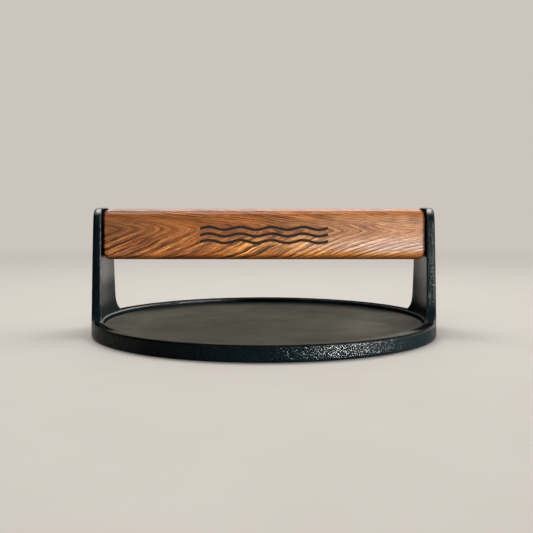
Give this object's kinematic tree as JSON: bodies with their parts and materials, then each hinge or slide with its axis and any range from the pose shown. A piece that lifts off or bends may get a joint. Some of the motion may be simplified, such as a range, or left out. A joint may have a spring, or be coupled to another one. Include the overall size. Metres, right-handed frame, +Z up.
{
  "type": "bacon press",
  "caption": "Round cast-iron bacon press with a low raised rim, integral uprights and a hardwood bar handle, for holding bacon flat against a hot griddle or pan.",
  "frame": {"origin": "centre of the flat pressing face on the underside", "axes": "+Z up, out of the top of the press; the handle bar runs along X"},
  "size_m": [0.21, 0.21, 0.0763],
  "materials": {
    "cast_iron": "seasoned black cast iron with a fine sand-cast grain, satin sheen",
    "hardwood": "oiled reddish-brown hardwood with dark figured grain, satin",
    "stainless": "stainless steel, lightly brushed",
    "brass": "plain machined brass"
  },
  "bodies": {
    "root": {"cast_iron_body": "cast_iron", "handle_bar": "hardwood", "handle_screw_left_upper": "stainless", "handle_screw_left_lower": "stainless", "handle_screw_right_upper": "stainless", "handle_screw_right_lower": "stainless", "spacer_washer_left_upper": "stainless", "spacer_washer_left_lower": "stainless", "spacer_washer_right_upper": "stainless", "spacer_washer_right_lower": "stainless", "threaded_insert_left_upper": "brass", "threaded_insert_left_lower": "brass", "threaded_insert_right_upper": "brass", "threaded_insert_right_lower": "brass"}
  },
  "joints": []
}
